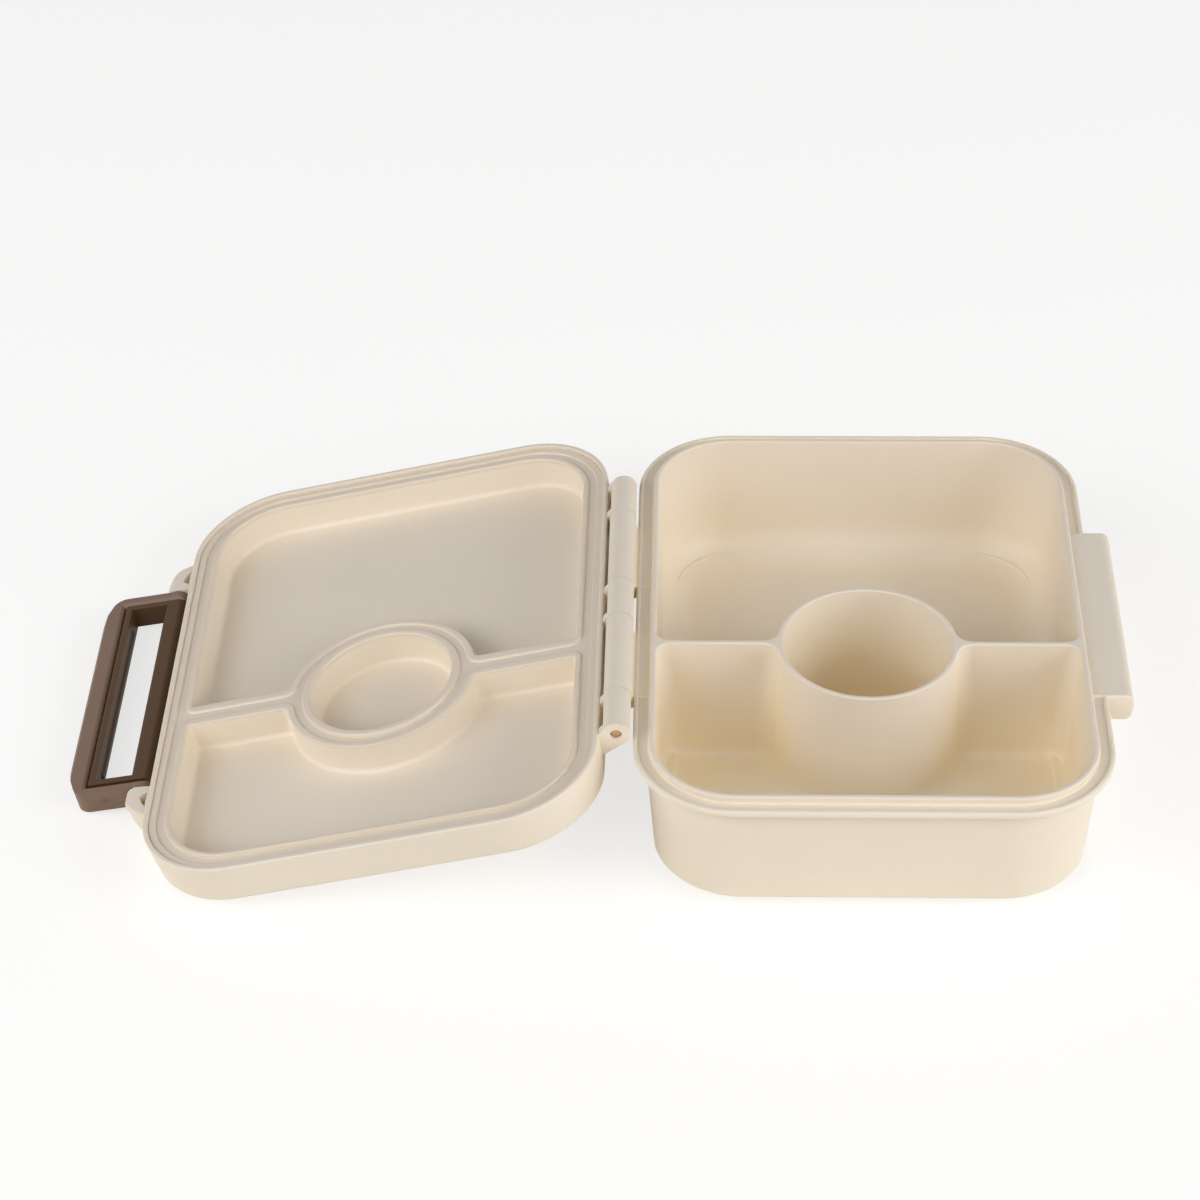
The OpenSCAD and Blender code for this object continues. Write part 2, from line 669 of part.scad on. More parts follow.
module carry_handle() {
  h = latch_t / 2;
  boss = hinge_bar_w / 2 + 0.2;
  outer = 0.8;
  inner = 0.9;
  near = grip_near + inner;
  color(brown) on_pivot() difference() {
    intersection() {
      union() {
        y_bar(-handle_out, handle_out) polygon([
          [0, -h], [0, h], [outer - grip_far, h], [-grip_far, h - outer],
          [-grip_far, 1.5 * outer - h], [1.5 * outer - grip_far, -h]]);
        y_rod(boss, -handle_out, handle_out);
      }
      translate([0, 0, -h - 1]) linear_extrude(latch_t + 2) polygon([
        [boss + 1, -handle_out], [boss + 1, handle_out],
        [grip_bevel / 3 - grip_far, handle_out], [-grip_far, handle_out - grip_bevel],
        [-grip_far, grip_bevel - handle_out], [grip_bevel / 3 - grip_far, -handle_out]]);
    }
    y_bar(-handle_in, handle_in) polygon([
      [-grip_near, -h - 1], [-grip_near, h - inner], [-near - 1, h + 1],
      [boss + 2, h + 1], [boss + 2, -h - 1]]);
    for (m = [0, 1]) mirror([0, m, 0]) translate([0, handle_in, h])
      rotate([45, 0, 0]) cube([2 * near, inner * sqrt(2), inner * sqrt(2)], center = true);
    y_rod(latch_pin_r + bore_gap, -far / 2, far / 2);
  }
}

module latch_pin() {
  l = ear_in + ear_bite - 0.3;
  color(steel) translate([pivot_x, 0, pivot_z]) y_rod(latch_pin_r, -l, l);
}

base_box();
lid_shell();
lid_gasket();
hinge_pin();
latch_frame();
carry_handle();
latch_pin();
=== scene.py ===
"""A hinged snack box for a small child, lying open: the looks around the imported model."""
import math

import bmesh
import bpy
from mathutils import Matrix, Vector
from mathutils.geometry import delaunay_2d_cdt


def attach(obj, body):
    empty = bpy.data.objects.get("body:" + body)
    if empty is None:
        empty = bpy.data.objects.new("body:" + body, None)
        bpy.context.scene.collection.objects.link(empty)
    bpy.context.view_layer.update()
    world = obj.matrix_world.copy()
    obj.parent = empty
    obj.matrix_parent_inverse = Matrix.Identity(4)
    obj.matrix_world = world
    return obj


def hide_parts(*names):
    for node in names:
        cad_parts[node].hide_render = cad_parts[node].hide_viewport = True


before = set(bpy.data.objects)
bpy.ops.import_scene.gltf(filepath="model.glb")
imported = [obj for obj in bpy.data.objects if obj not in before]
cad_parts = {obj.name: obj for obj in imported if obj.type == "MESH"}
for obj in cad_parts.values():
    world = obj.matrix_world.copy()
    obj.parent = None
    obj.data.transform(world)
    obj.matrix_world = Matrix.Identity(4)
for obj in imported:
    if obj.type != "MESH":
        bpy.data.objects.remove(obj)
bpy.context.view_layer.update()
MM = 0.001

# camera, fitted to the photograph's edges; millimetres and degrees
CAMERA_AT = (-43.688, -671.269, 558.262)
CAMERA_YAW = -1.999
CAMERA_PITCH = 37.744
CAMERA_ROLL = -0.948
LENS, SENSOR = 100.73, 36

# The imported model's sizes, in millimetres and degrees. Tray and lid are rounded rectangles: where their skins
# lie is given as a radius about the corner centres in CORE.
HALF_X, HALF_Y = 58.0, 77.4
CORNER_R = 24.6
CORE = (HALF_X - CORNER_R, HALF_Y - CORNER_R)

# tray: flange with its lip and channel, sealing rim, walls, foot and floor
FLANGE_Z, FLANGE_T = 35.35, 2.0
LIP_W, CHANNEL_D = 1.1, 0.53
RIM_Z, RIM_OUT, RIM_IN = 36.7, 20.75, 19.35
WALL_CORE = (CORE[0] - 2.2, CORE[1] - 2.2)
WALL_TOP, WALL_LOW = 23.9, 21.84
FOOT_H, FOOT_OUT = 3.2, WALL_LOW - 5.5
FLOOR_Z = 1.6

# the tray's hollows: slopes of walls and cup, divider, cup, and the radii in plan at the rim and at the floor
INNER_DRAFT, CUP_DRAFT = 1.8, 2.0
DIVIDER_Y, DIVIDER_HALF = -14.6, 0.7
CUP_R, CUP_T = 22.45, 1.3
END_R, WEB_R = 3.5, 4.5
END_R_LOW, WEB_R_LOW = 6.4, 6.0
RIM_ROUND, CUP_RIM_ROUND = 0.4, 0.35
# roundings to the floor: along divider and cup, at the divider's ends, and along the outer walls
FLOOR_ROUNDS = (3.5, 5.6, 9.0)
CUP_FLOOR_ROUND = 3.5

# catch block, with the slant of its lower edge as steps inwards and upwards
CATCH_HALF, CATCH_OUT, CATCH_H = 33.5, HALF_X + 6.6, 7.65
CATCH_WALL, CATCH_TOP_R = 2.0, 2.4
CATCH_CHIN = ((1.6, 0), (0.4, 1), (0, 3))
CATCH_RIBS, CATCH_RIB_HALF = 4, 0.7
CATCH_ROUND = 0.5

# hinge: axis, barrels, bore, and the knuckles' ends along it
HINGE_X, HINGE_Z = -62.0, 36.87
BARREL_R, BORE_R, BORE_HALF = 3.4, 1.45, 60
TRAY_KNUCKLES = ((7.35, 36.8), (-36.8, -7.35))
LID_KNUCKLES = ((-51.25, -37.05), (-7.1, 7.1), (37.05, 51.25))
# the web behind a tray knuckle: its depth, its crest, its bite into the tray, and how it narrows
WEB_DEPTH, WEB_BITE = 7.5, 0.3
CREST_ANGLE, CREST_RISE = 50, 1.16
SHOULDER_START, SHOULDER_END, SHOULDER_STEP = 1.5, 4, 2.5
# the web in front of a lid knuckle: where it leaves the barrel, its depth, and the slot in it
LEAVES_TOP, LEAVES_LOW = 25, 8
LUG_DEPTH = 5.4
SLOT_W, SLOT_HALF_H, SLOT_END = 1.3, 8, 2.4

# lid, drawn level with its hollows up: heights count from the hinge's axis, and x from the lid's middle,
# which lies LID_SPAN from that axis
LID_SPAN, LID_TILT = 62.0, 13.2888
LID_SIDE = LID_SPAN - 4.15
LID_TOP, LEDGE, PANEL, LID_FACE = 1.37, -0.2, -7.68, -10.08
LID_EDGE, LID_LOW = 24.45, 23.65
BAND_OUT, BAND_IN = 23.15, 17.55
STRIP_HALF = 3.8
RING_IN, RING_OUT = 18.55, 24.65
LID_END_R, LID_WEB_R = 1.0, 2.0
LID_END_LOW, LID_WEB_LOW = 1.6, 2.6
LID_DRAFT, PANEL_ROUND, LEDGE_ROUND = 3.0, 1.2, 0.15

# seal: its seat between the lips, its underside, and the lips' crests along divider and cup, at the
# divider's ends and along the walls
SEAT, SHELF = 0.1, -0.18
SEAT_BAND, SEAT_HALF, SEAT_CUP_OUT, SEAT_CUP_IN = 19.05, 1.0, 22.75, 20.85
SEAT_END_R, SEAT_WEB_R = 3.2, 4.2
CRESTS, RING_CREST = (0.6, 0.8, 1.0), 1.0
CREST_RUN = 40
# a lip's section: shares of the way from seat to edge and of the rise to the crest
LIP_STEPS = ((0, 0), (0.05, 0.5), (0.12, 0.82), (0.22, 0.97), (0.32, 1), (0.7, 1), (0.84, 0.94), (0.94, 0.75),
             (1, 0.45))

# latch pin's axis, and the ears that hold it; the scoop's corners count from the lid's side and EAR_IN
PIVOT_OUT, PIVOT_W = 61.45, -2.03
EAR_IN, EAR_ROOT, EAR_TIP = 40.3, 10.5, 4.0
EAR_R, EAR_BULGE, EAR_CHAMFER = 3.3, 0.6, 1
EAR_HOLE_R, EAR_HOLE_D = 1.025, 3.5
EAR_SCOOP = ((-2.3, 3.6), (-0.4, 2.2), (-0.4, 7.6), (-1.5, 6))
SCOOP_FLOOR = 0.3

# carry handle, drawn about the latch pin's axis with its arms towards -x
LATCH_TILT, LATCH_T = 10.7762, 6.0
LATCH_BORE_R, BOSS_R = 1.05, 3.2
HANDLE_IN, HANDLE_OUT, ARM_END = 36.95, 39.95, 3
GRIP_NEAR, GRIP_FAR, GRIP_BEVEL = 14.1, 19.1, 8.5
GRIP_OUTER_BEVEL, GRIP_INNER_BEVEL = 0.8, 0.9
GRIP_CORNER_R, GRIP_SIDE_R = 4, 20
HANDLE_ROUND = 0.35
# the mould's gate: a dent with a nub in it
GATE_AT = (-8.98, 0.25)
GATE_R, GATE_D = 0.75, 0.14
NUB_R, NUB_D = 0.3, 0.03

# rounding of the edges of the carried-over solids, and of knuckles and ears
CAD_ROUND, SMALL_ROUND = 0.25, 0.3

# moulded plastic: scales of its mottling and its grain, the grain's strength and its depth in metres
MOTTLE_SCALE, GRAIN_SCALE = 28, 900
GRAIN_STRENGTH, GRAIN_DEPTH = 0.02, 0.0002
PLASTIC_IOR = 1.49
METAL_SCALE = 400

# painted bounce light in hollows: how far off walls count as shutting a surface in, in metres, and the openness
# between which the painted glow fades out
BOUNCE_PAINT_REACH = 0.04
BOUNCE_PAINT_FROM, BOUNCE_PAINT_TO = 0.12, 0.6

# light: a faint tint, the world's strength, and lamps with place in metres and power in watts
DAYLIGHT = (0.96, 0.972, 1.093)
WORLD_LIGHT = 0.128
LAMP_SIZE, LAMP_AIM = 1.0, (-0.05, 0, 0)
LAMPS = {
    "left": ((-1.4, -0.5, 0.6), 8.0),
    "right": ((1.4, -0.5, 0.6), 14.1),
    "high_left": ((-0.9, -1.0, 1.1), 8.0),
    "high_right": ((0.9, -1.0, 1.1), 4.8)}

# floor in metres, its two tones, and how much of what the camera sees of it is its own white
FLOOR_HALF, FLOOR_DROP = 4, 0.0003
FLOOR_DARK, FLOOR_LIGHT = (0.95, 0.92, 0.80, 1), (0.97, 0.94, 0.82, 1)
FLOOR_SCALE = 5
FLOOR_GLOW, GLOW_SHARE = 1.2, 0.6


def add_camera():
    yaw, pitch, roll = (math.radians(a) for a in (CAMERA_YAW, CAMERA_PITCH, CAMERA_ROLL))
    forward = Vector((math.sin(yaw) * math.cos(pitch), math.cos(yaw) * math.cos(pitch), -math.sin(pitch)))
    right = Vector((math.cos(yaw), -math.sin(yaw), 0))
    up = right.cross(forward)
    right, up = (right * math.cos(roll) + up * math.sin(roll), up * math.cos(roll) - right * math.sin(roll))
    data = bpy.data.cameras.new("camera")
    data.lens = LENS
    data.sensor_width = SENSOR
    data.clip_start = 0.01
    camera = add_object("camera", data)
    turn = Matrix((right, up, -forward)).transposed().to_4x4()
    camera.matrix_world = Matrix.Translation(Vector(CAMERA_AT) * MM) @ turn
    bpy.context.scene.camera = camera


# ---------------------------------------------------------------- points and meshes

def smooth(x):
    x = min(1.0, max(0.0, x))
    return x * x * (3 - 2 * x)


def mix(a, b, x):
    return a + (b - a) * x


def arc(cx, cz, r, a, b, n):
    """Points of an arc from angle a to b, in degrees."""
    steps = (math.radians(mix(a, b, i / n)) for i in range(n + 1))
    return [(cx + r * math.cos(s), cz + r * math.sin(s)) for s in steps]


def rounding(t, z, st, sz, r, a, b, n):
    """The arc that rounds an edge at t, z; its centre lies towards the signs st and sz."""
    return arc(t + st * r, z + sz * r, r, a, b, n)


def filleted(corners, n=8):
    """An outline from corners given as x, y and radius."""
    points = []
    for i, (x, y, r) in enumerate(corners):
        if r == 0:
            points.append((x, y))
            continue
        corner = Vector((x, y))
        before = (Vector(corners[i - 1][:2]) - corner).normalized()
        after = (Vector(corners[(i + 1) % len(corners)][:2]) - corner).normalized()
        half = before.angle(after) / 2
        centre = corner + (before + after).normalized() * (r / math.sin(half))
        start, end = (corner + d * (r / math.tan(half)) - centre for d in (before, after))
        a, turn = math.atan2(start.y, start.x), start.angle_signed(end)
        for k in range(n + 1):
            s = a - turn * k / n
            points.append((centre.x + r * math.cos(s), centre.y + r * math.sin(s)))
    return points


def inside(point, loop):
    """Even-odd test of a point against a closed loop."""
    x, y = point
    hit = False
    for (ax, ay), (bx, by) in zip(loop, loop[-1:] + loop[:-1]):
        if (ay > y) != (by > y) and x < (bx - ax) * (y - ay) / (by - ay) + ax:
            hit = not hit
    return hit


class Shell:
    """Points and faces of a closed surface, built ring by ring."""

    def __init__(self):
        self.points = []
        self.faces = []

    def ring(self, points):
        first = len(self.points)
        self.points += [tuple(p) for p in points]
        return list(range(first, len(self.points)))

    def loft(self, rings):
        """Joins rings of equal count, and returns the first and the last."""
        ids = [self.ring(r) for r in rings]
        for a, b in zip(ids, ids[1:]):
            n = len(a)
            self.faces += [(a[i], a[(i + 1) % n], b[(i + 1) % n], b[i]) for i in range(n)]
        return ids[0], ids[-1]

    def pit(self, rings):
        """A hollow with a flat floor; returns its upper edge."""
        first, last = self.loft(rings)
        self.flat(last)
        return first

    def flat(self, outer, holes=()):
        """Fills the level ground inside a ring and outside others."""
        loops = [outer] + list(holes)
        ids = [i for loop in loops for i in loop]
        edges, first = [], 0
        for loop in loops:
            n = len(loop)
            edges += [(first + k, first + (k + 1) % n) for k in range(n)]
            first += n
        flats = [[self.points[i][:2] for i in loop] for loop in loops]
        found = delaunay_2d_cdt([Vector(self.points[i][:2]) for i in ids], edges, [], 0, 1e-7)
        places, tris, origins = found[0], found[2], found[3]
        for tri in tris:
            c = (sum(places[i][0] for i in tri) / 3, sum(places[i][1] for i in tri) / 3)
            if inside(c, flats[0]) and not any(inside(c, f) for f in flats[1:]):
                self.faces.append(tuple(ids[origins[i][0]] for i in tri))

    def placed(self, name, matrix=None):
        """The surface as an object; matrix places it, in millimetres."""
        place = Matrix.Scale(MM, 4) @ (matrix or Matrix.Identity(4))
        mesh = bpy.data.meshes.new(name)
        mesh.from_pydata([place @ Vector(p) for p in self.points], [], self.faces)
        work = bmesh.new()
        work.from_mesh(mesh)
        bmesh.ops.recalc_face_normals(work, faces=work.faces)
        work.to_mesh(mesh)
        work.free()
        return add_object(name, mesh)


def rounded(core, t, z, n=20):
    """A rounded rectangle: corner centres at core, radius t."""
    ring = []
    for q, (sx, sy) in enumerate(((1, 1), (-1, 1), (-1, -1), (1, -1))):
        for x, y in arc(sx * core[0], sy * core[1], t, 90 * q, 90 * q + 90, n):
            ring.append((x, y, z))
    return ring


def circle(r, z, n=112):
    """A ring about the cup's axis."""
    return [(x, DIVIDER_Y + y, z) for x, y in arc(0, 0, r, 0, 360, n)[:-1]]


# the stretches of a compartment's outline and the steps of each: end corner, wall, corner, far wall,
# corner, wall, end corner, divider, web corner, cup, web corner, divider
STRETCHES = (10, 12, 20, 12, 20, 12, 10, 8, 10, 48, 10, 8)
TRACK = [(seg, i / n) for seg, n in enumerate(STRETCHES) for i in range(n)]


def outline(seg, tau, core, t, w, r, end, web):
    """Point and inward direction on a compartment's outline; x along the divider, v away from it.

    core and t are the wall's corner centre and radius, w the divider's half thickness, r the cup's radius,
    end the radius between wall and divider, and web that between divider and cup.
    """
    cx, cv = core
    fx = math.sqrt((r + web) ** 2 - (w + web) ** 2)
    lean = math.degrees(math.atan2(w + web, fx))
    round_parts = {
        0: (cx + t - end, w + end, end, -90, 0, -1), 2: (cx, cv, t, 0, 90, -1),
        4: (-cx, cv, t, 90, 180, -1), 6: (end - cx - t, w + end, end, 180, 270, -1),
        8: (-fx, w + web, web, 270, 360 - lean, -1), 9: (0, 0, r, 180 - lean, lean, 1),
        10: (fx, w + web, web, 180 + lean, 270, -1)}
    if seg in round_parts:
        ox, ov, radius, a, b, side = round_parts[seg]
        s = math.radians(mix(a, b, tau))
        return ox + radius * math.cos(s), ov + radius * math.sin(s), side * math.cos(s), side * math.sin(s)
    if seg == 1:
        return cx + t, mix(w + end, cv, tau), -1, 0
    if seg == 3:
        return mix(cx, -cx, tau), cv + t, 0, -1
    if seg == 5:
        return -cx - t, mix(cv, w + end, tau), 1, 0
    if seg == 7:
        return mix(end - cx - t, -fx, tau), w, 0, 1
    return mix(fx, cx + t - end, tau), w, 0, 1


def between(seg, tau, run, low, middle, high, reach=14.0):
    """A value that is low at divider and cup, middle at the divider's ends, and grows to high along walls."""
    if seg in (0, 6):
        return mix(low, middle, smooth(tau if seg == 0 else 1 - tau))
    if seg in (1, 5):
        return mix(middle, high, smooth((tau if seg == 1 else 1 - tau) * run / reach))
    return high if seg in (2, 3, 4) else low


class Pocket:
    """One compartment beside the cup: side is +1 behind the divider and -1 in front of it."""

    def __init__(self, side, t, w, r, end, web):
        self.side = side
        self.core = (CORE[0], CORE[1] - side * DIVIDER_Y)
        self.sizes = (t, w, r, end, web)

    def ring(self, place):
        """place(seg, tau) gives height, inset and the outline's t, w, r, end and web there."""
        points = []
        for seg, tau in TRACK:
            z, inset, sizes = place(seg, tau)
            x, v, nx, nv = outline(seg, tau, self.core, *sizes)
            points.append((x + nx * inset, DIVIDER_Y + self.side * (v + nv * inset), z))
        return points

    def hollow(self, top, floor, edge, drafts, feet, lows):
        """Rings from a rounded upper edge down the sloping walls and round to the floor.

        drafts are those of walls and cup, feet the roundings to the floor, and lows end and web down there.
        """
        wall_slope, cup_slope = (math.tan(math.radians(d)) for d in drafts)
        t, w, r, end, web = self.sizes
        run = self.core[1] - w

        def sizes(z):
            deep = top - z
            share = deep / (top - floor)
            return (t - deep * wall_slope, w + deep * cup_slope, r + deep * cup_slope,
                    mix(end, lows[0], share), mix(web, lows[1], share))

        def level(kind, x):
            def place(seg, tau):
                foot = between(seg, tau, run, *feet)
                if kind == "edge":
                    inset, z = -edge * (1 - math.sin(x)), top - edge * (1 - math.cos(x))
                elif kind == "wall":
                    inset, z = 0, mix(top - edge, floor + foot, x)
                elif kind == "foot":
                    inset, z = foot * (1 - math.cos(x)), floor + foot * (1 - math.sin(x))
                else:
                    inset, z = foot + x * between(seg, tau, run, 1, 1, 4), floor
                return z, inset, sizes(z)
            return self.ring(place)

        quarter = math.pi / 2
        return ([level("edge", quarter * i / 4) for i in range(5)]
                + [level("wall", i / 5) for i in range(1, 6)]
                + [level("foot", quarter * i / 9) for i in range(1, 10)]
                + [level("floor", feet[0] / 10)])


def cup_hollow(r, top, floor, edge, draft, foot):
    """Rings of a round hollow, from its rounded upper edge to its floor."""
    rings = [circle(r + t, z) for t, z in arc(edge, top - edge, edge, 90, 180, 4)]
    low = r - (top - floor - foot) * math.tan(math.radians(draft))
    return rings + [circle(t, z) for t, z in arc(low - foot, floor + foot, foot, 0, -90, 9)]


def prism(profile, axis, lo, hi):
    """A closed bar: its profile in X and Z along Y, or in X and Y along Z."""
    shell = Shell()
    rings = [[(a, d, b) if axis == "y" else (a, b, d) for a, b in profile] for d in (lo, hi)]
    first, last = shell.loft(rings)
    shell.faces += [tuple(first), tuple(reversed(last))]
    return shell


def rod(x, z, r, lo, hi, n=64):
    return prism(arc(x, z, r, 0, 360, n)[:-1], "y", lo, hi)


# ---------------------------------------------------------------- objects

def add_object(name, data):
    obj = bpy.data.objects.new(name, data)
    bpy.context.scene.collection.objects.link(obj)
    return obj


def applied(obj):
    """The object with its modifiers built into its mesh."""
    bpy.context.view_layer.update()
    mesh = bpy.data.meshes.new_from_object(obj.evaluated_get(bpy.context.evaluated_depsgraph_get()))
    obj.modifiers.clear()
    obj.data = mesh
    return obj


def clean(obj, flats=False):
    """Drops what booleans leave: doubled points, faces without area and, for flats, edges on level faces."""
    work = bmesh.new()
    work.from_mesh(obj.data)
    bmesh.ops.remove_doubles(work, verts=work.verts, dist=2e-6)
    bmesh.ops.dissolve_degenerate(work, edges=work.edges, dist=1e-6)
    if flats:
        bmesh.ops.dissolve_limit(work, angle_limit=math.radians(0.2), verts=work.verts, edges=work.edges)
    work.to_mesh(obj.data)
    work.free()


def combine(obj, others, operation):
    """Joins, cuts or intersects an object with others, and removes them."""
    for other in others:
        cut = obj.modifiers.new("cut", "BOOLEAN")
        cut.solver = "EXACT"
        cut.operation = operation
        cut.object = other
    applied(obj)
    for other in others:
        bpy.data.objects.remove(other)
    clean(obj)
    return obj


def add_bevel(obj, width, segments, angle):
    """Rounds edges sharper than an angle, by a width in millimetres."""
    bevel = obj.modifiers.new("bevel", "BEVEL")
    bevel.width = width * MM
    bevel.segments = segments
    bevel.limit_method = "ANGLE"
    bevel.angle_limit = math.radians(angle)
    bevel.use_clamp_overlap = True


def soften(obj, width, segments, angle):
    """Rounds the sharp edges of a small part for good."""
    clean(obj, True)
    add_bevel(obj, width, segments, angle)
    return applied(obj)


def dress(obj, mat, body, nodes, sharp=32):
    """Shades a finished piece, and hangs it on its body in place of its CAD nodes."""
    mesh = obj.data
    mesh.materials.clear()
    mesh.materials.append(mat)
    mesh.shade_smooth()
    mesh.set_sharp_from_angle(angle=math.radians(sharp))
    obj.modifiers.new("weights", "WEIGHTED_NORMAL").keep_sharp = True
    applied(obj)
    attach(obj, body)
    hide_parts(*nodes)


# ---------------------------------------------------------------- tray

def tray_skin():
    """The tray's outside, from the foot's underside up to the rim's top."""
    under, lip, channel = FLANGE_Z - FLANGE_T, CORNER_R - LIP_W, FLANGE_Z - CHANNEL_D
    # corner centres, then the edge, where its rounding's centre lies, radius, angles and steps
    edges = [
        (WALL_CORE, FOOT_OUT, 0, -1, 1, 0.8, -90, 0, 5),
        (WALL_CORE, FOOT_OUT, FOOT_H, 1, -1, 0.5, 180, 90, 4),
        (WALL_CORE, WALL_LOW, FOOT_H, -1, 1, 1.2, -90, 0, 8),
        (WALL_CORE, WALL_TOP, under, 1, -1, 0.6, 180, 90, 5),
        (CORE, CORNER_R, under, -1, 1, 0.7, -90, 0, 5),
        (CORE, CORNER_R, FLANGE_Z, -1, -1, 0.8, 0, 90, 7),
        (CORE, lip, FLANGE_Z, 1, -1, 0.12, 90, 180, 2),
        (CORE, lip, channel, -1, 1, 0.15, 0, -90, 2),
        (CORE, RIM_OUT, channel, 1, 1, 0.4, -90, -180, 4),
        (CORE, RIM_OUT, RIM_Z, -1, -1, 0.5, 0, 90, 6)]
    return [rounded(core, t, z) for core, *edge in edges for t, z in rounding(*edge)]


def build_catch():
    """The catch block, hollow from below between its ribs."""
    low, inner = FLANGE_Z - CATCH_H, CORE[0] + RIM_OUT - 1
    profile = [(inner, low)] + [(CATCH_OUT - x, low + z) for x, z in CATCH_CHIN]
    profile += rounding(CATCH_OUT, FLANGE_Z, -1, -1, CATCH_TOP_R, 0, 90, 10) + [(inner, FLANGE_Z)]
    catch = prism(profile, "y", -CATCH_HALF, CATCH_HALF).placed("catch")
    soften(catch, CATCH_ROUND, 3, 50)
    ribs = [2 * CATCH_HALF * i / (CATCH_RIBS + 1) - CATCH_HALF for i in range(1, CATCH_RIBS + 1)]
    sides = [y + d for y in ribs for d in (-CATCH_RIB_HALF, CATCH_RIB_HALF)]
    ends = [CATCH_WALL - CATCH_HALF] + sides + [CATCH_HALF - CATCH_WALL]
    far, ceiling = CATCH_OUT - CATCH_WALL, FLANGE_Z - CATCH_WALL
    room = [(HALF_X, low - 1), (far, low - 1), (far, ceiling), (HALF_X, ceiling)]
    rooms = [prism(room, "y", a, b).placed("room") for a, b in zip(ends[::2], ends[1::2])]
    return combine(catch, rooms, "DIFFERENCE")


def build_tray_knuckle(lo, hi):
    """A knuckle on a web that narrows towards the tray."""
    barrel = rod(HINGE_X, HINGE_Z, BARREL_R, lo, hi).placed("barrel")
    inner, top = WEB_BITE - CORE[0] - RIM_OUT, FLANGE_Z - WEB_BITE
    crest = (HINGE_X + BARREL_R * math.cos(math.radians(CREST_ANGLE)), HINGE_Z + CREST_RISE)
    web = prism([
        (HINGE_X, HINGE_Z - BARREL_R), (inner, HINGE_Z - WEB_DEPTH), (inner, top),
        (-HALF_X, top), crest, (HINGE_X, HINGE_Z)], "y", lo, hi).placed("web")
    start, end = HINGE_X + SHOULDER_START, HINGE_X + SHOULDER_END
    near, far = lo + SHOULDER_STEP, hi - SHOULDER_STEP
    plan = prism([
        (HINGE_X - 1, lo), (start, lo), (end, near), (inner + 1, near),
        (inner + 1, far), (end, far), (start, hi), (HINGE_X - 1, hi)],
        "z", 0, 60).placed("plan")
    combine(web, [plan], "INTERSECT")
    combine(barrel, [web], "UNION")
    return soften(barrel, SMALL_ROUND, 2, 50)


def build_tray():
    shell = Shell()
    bottom, rim = shell.loft(tray_skin())
    shell.flat(bottom)
    holes = []
    for side in (1, -1):
        pocket = Pocket(side, RIM_IN, DIVIDER_HALF, CUP_R, END_R, WEB_R)
        holes.append(shell.pit(pocket.hollow(
            RIM_Z, FLOOR_Z, RIM_ROUND, (INNER_DRAFT, CUP_DRAFT), FLOOR_ROUNDS, (END_R_LOW, WEB_R_LOW))))
    holes.append(shell.pit(cup_hollow(
        CUP_R - CUP_T, RIM_Z, FLOOR_Z, CUP_RIM_ROUND, CUP_DRAFT, CUP_FLOOR_ROUND)))
    shell.flat(rim, holes)
    tray = shell.placed("box_tray")
    combine(tray, [build_catch()] + [build_tray_knuckle(*span) for span in TRAY_KNUCKLES], "UNION")
    bore = rod(HINGE_X, HINGE_Z, BORE_R, -BORE_HALF, BORE_HALF).placed("bore")
    return combine(tray, [bore], "DIFFERENCE")


# ---------------------------------------------------------------- lid and seal

ON_LID = (Matrix.Translation((HINGE_X, 0, HINGE_Z)) @ Matrix.Rotation(math.radians(-LID_TILT), 4, "Y")
          @ Matrix.Translation((-LID_SPAN, 0, 0)))


def build_lid_knuckle(lo, hi):
    """A knuckle on a web, with a slot between the web and the lid's side."""
    top, low = math.radians(LEAVES_TOP), math.radians(LEAVES_LOW)
    barrel = rod(LID_SPAN, 0, BARREL_R, lo, hi).placed("barrel", ON_LID)
    web = prism([
        (LID_SPAN, 0), (LID_SPAN - BARREL_R * math.sin(top), BARREL_R * math.cos(top)),
        (LID_SIDE - 0.6, LID_TOP - 0.9), (LID_SIDE - 1, -LUG_DEPTH), (LID_SIDE - 0.2, -LUG_DEPTH),
        (LID_SPAN + BARREL_R * math.sin(low), -BARREL_R * math.cos(low))],
        "y", lo, hi).placed("web", ON_LID)
    combine(barrel, [web], "UNION")
    out, h = LID_SIDE + SLOT_W, SLOT_HALF_H
    slot = prism([(LID_SIDE, -h), (out, -h), (out, h), (LID_SIDE, h)],
                 "y", lo + SLOT_END, hi - SLOT_END).placed("slot", ON_LID)
    combine(barrel, [slot], "DIFFERENCE")
    return soften(barrel, SMALL_ROUND, 2, 50)


